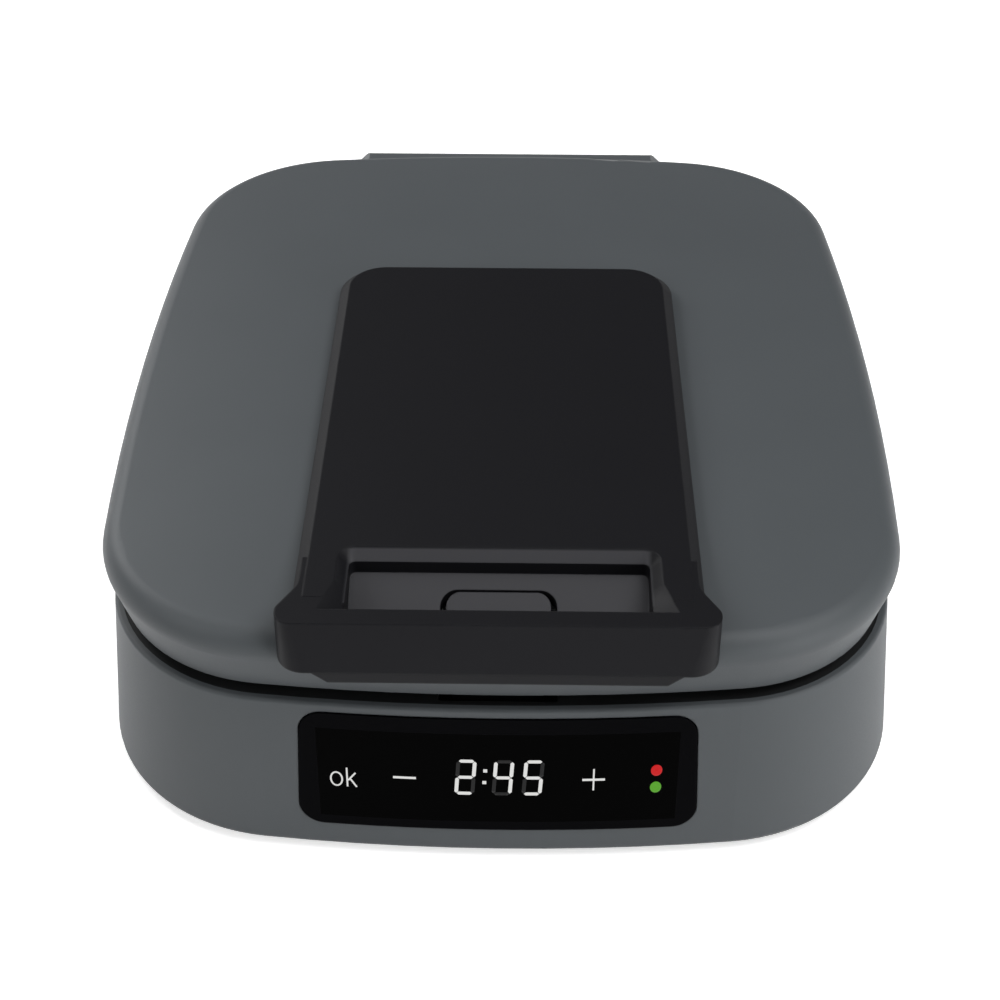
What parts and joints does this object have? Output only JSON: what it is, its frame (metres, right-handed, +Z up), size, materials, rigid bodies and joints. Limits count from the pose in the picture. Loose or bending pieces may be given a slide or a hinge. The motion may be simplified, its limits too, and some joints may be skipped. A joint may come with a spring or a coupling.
{
  "type": "sandwich maker",
  "caption": "Table-top sandwich maker: a flared base with a touch display, and a hinged domed lid with a raised handle panel, grip bar and push latch over ridged cooking plates.",
  "frame": {"origin": "on the table under the middle of the object's box, from the grip bar's front to the hinge barrel's back", "axes": "+X to the right as seen from the front, +Y to the hinge at the back, +Z up"},
  "size_m": [0.259, 0.3151, 0.0915],
  "materials": {
    "case_grey": "satin",
    "inner_black": "matt",
    "handle_black": "matt",
    "foot_rubber": "matt",
    "plate_coating": "non-stick coated",
    "bright_sheet": "mill",
    "display_gloss": "glossy",
    "circuit_board": "satin",
    "module_plastic": "satin",
    "foam": "matt",
    "light_lens": "glossy",
    "steel": "satin"
  },
  "bodies": {
    "base": {"base_housing": "case_grey", "base_deck": "inner_black", "catch_plate": "steel", "hinge_ear_right": "case_grey", "hinge_ear_left": "case_grey", "ear_screws": "steel", "bottom_cover": "inner_black", "foot_back_right": "foot_rubber", "foot_back_left": "foot_rubber", "foot_front_right": "foot_rubber", "foot_front_left": "foot_rubber", "bottom_screws": "steel", "lower_plate_screws": "steel", "board_screws": "steel", "power_screws": "steel", "lower_plate": "plate_coating", "lower_element": "steel", "lower_shield": "bright_sheet", "lower_sensor": "bright_sheet", "thermal_fuse": "module_plastic", "display_panel": "display_gloss", "control_board": "circuit_board", "digit_module": "module_plastic", "indicator_lights": "light_lens", "touch_pads": "foam", "power_board": "circuit_board", "power_relay": "module_plastic", "hinge_pin": "steel", "cord_gland": "handle_black"},
    "lid": {"lid_cover": "case_grey", "lid_liner": "inner_black", "liner_screws": "steel", "upper_plate": "plate_coating", "upper_plate_screws": "steel", "upper_element": "steel", "upper_shield": "bright_sheet", "upper_sensor": "bright_sheet", "handle_panel": "handle_black", "handle_trim": "handle_black", "handle_screws": "steel", "hinge_block": "case_grey", "hinge_screws": "steel", "latch_pin": "steel", "latch_spring": "steel"},
    "latch": {"latch_lever": "handle_black"}
  },
  "joints": [
    {"name": "lid_hinge", "type": "hinge", "parent": "base", "child": "lid", "pos_m": [0, 0.14875, 0.055], "axis": [-1, 0, 0], "range_deg": [0, 100]},
    {"name": "latch_press", "type": "hinge", "parent": "lid", "child": "latch", "pos_m": [0, -0.12375, 0.0725], "axis": [1, 0, 0], "range_deg": [0, 7], "stiffness_Nm_per_rad": 0.2, "springref_deg": -5.73}
  ]
}
